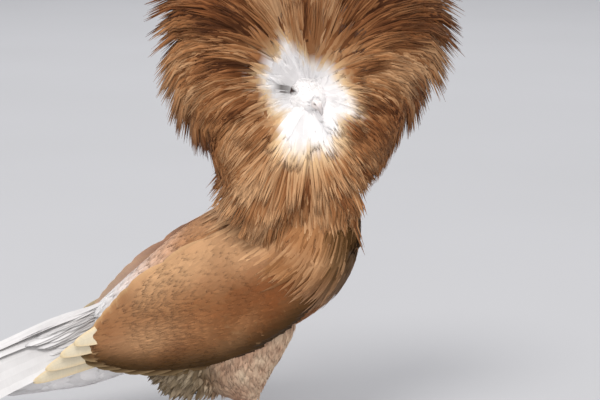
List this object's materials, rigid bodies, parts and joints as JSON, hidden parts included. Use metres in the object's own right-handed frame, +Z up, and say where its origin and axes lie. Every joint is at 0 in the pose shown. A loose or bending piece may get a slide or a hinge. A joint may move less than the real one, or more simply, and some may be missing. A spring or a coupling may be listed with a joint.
{
  "type": "jacobin pigeon",
  "caption": "Life-size model of a fancy pigeon with a large feather ruff round its head, standing on its feet.",
  "frame": {"origin": "on the floor under the middle of the whole bird's box", "axes": "+X the way the body faces, +Y to the bird's left, +Z up"},
  "size_m": [0.3335, 0.1166, 0.3364],
  "materials": {
    "ochre_feather": "matt ochre brown feather, streaked darker and paler",
    "cream_feather": "soft cream and pink-brown body feather",
    "white_feather": "white feather, grey in shade",
    "bill": "pale flesh-coloured horn, grey at the nostril",
    "claw": "dull horn",
    "eye": "wet, dark brown, near black",
    "leg_skin": "scaly red skin"
  },
  "bodies": {
    "root": {"bill_lower": "bill", "bill_upper": "bill", "chain_left": "ochre_feather", "chain_right": "ochre_feather", "claw_left_hind": "claw", "claw_left_inner": "claw", "claw_left_middle": "claw", "claw_left_outer": "claw", "claw_right_hind": "claw", "claw_right_inner": "claw", "claw_right_middle": "claw", "claw_right_outer": "claw", "eye_left": "eye", "eye_right": "eye", "foot_left": "leg_skin", "foot_right": "leg_skin", "head": "white_feather", "hood_left": "ochre_feather", "hood_right": "ochre_feather", "mane": "ochre_feather", "neck": "ochre_feather", "shank_left": "leg_skin", "shank_right": "leg_skin", "tail": "white_feather", "thigh_left": "cream_feather", "thigh_right": "cream_feather", "torso": "ochre_feather", "wing_left": "ochre_feather", "wing_right": "ochre_feather"}
  },
  "joints": []
}
